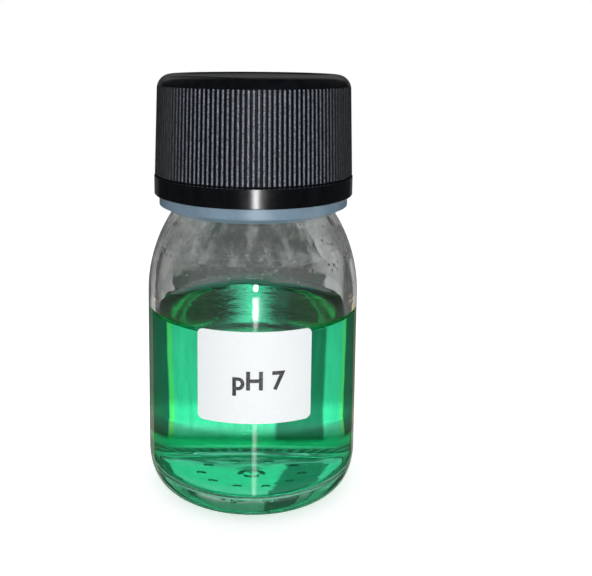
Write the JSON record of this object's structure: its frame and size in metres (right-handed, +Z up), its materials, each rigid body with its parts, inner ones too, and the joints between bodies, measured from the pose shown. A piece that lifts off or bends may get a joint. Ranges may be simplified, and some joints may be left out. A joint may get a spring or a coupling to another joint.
{
  "type": "screw-cap reagent bottle",
  "caption": "Small clear wide-neck laboratory bottle of green liquid with a ribbed black push-and-turn screw closure, a tamper ring and a paper label.",
  "frame": {"origin": "middle of the foot ring, on the surface the bottle stands on", "axes": "+Z up the bottle's axis to the closure, -Y towards the label, +X to the right of the label"},
  "size_m": [0.043, 0.0431, 0.0842],
  "materials": {
    "clear_glass": "clear, polished",
    "green_solution": "clear dyed liquid",
    "label_paper": "matt white paper",
    "natural_plastic": "natural translucent polypropylene",
    "foam_liner": "foamed polyethylene",
    "spring_plastic": "white acetal",
    "black_plastic": "black, glossy band and matt ribs"
  },
  "bodies": {
    "bottle": {"glass_bottle": "clear_glass", "solution": "green_solution", "label": "label_paper"},
    "ring": {"tamper_ring": "natural_plastic"},
    "seal": {"liner": "foam_liner"},
    "turning_cap": {"inner_cap": "natural_plastic", "push_spring": "spring_plastic"},
    "shell": {"outer_cap": "black_plastic"}
  },
  "joints": [
    {"name": "tamper_ring_turn", "type": "hinge", "parent": "bottle", "child": "ring", "pos_m": [0, 0, 0.059], "axis": [0, 0, 1], "continuous": true},
    {"name": "closure_lift", "type": "slide", "parent": "bottle", "child": "seal", "axis": [0, 0, 1], "range_m": [0, 0.018]},
    {"name": "closure_turn", "type": "hinge", "parent": "seal", "child": "turning_cap", "pos_m": [0, 0, 0.07], "axis": [0, 0, 1], "range_deg": [0, 1621]},
    {"name": "outer_push", "type": "slide", "parent": "turning_cap", "child": "shell", "axis": [0, 0, -1], "range_m": [0, 0.0014], "stiffness_N_per_m": 9000, "deforming": ["push_spring"]}
  ],
  "couplings": [
    {"joint": "closure_turn", "follows": "closure_lift", "rad_per_m": 1570.8}
  ]
}
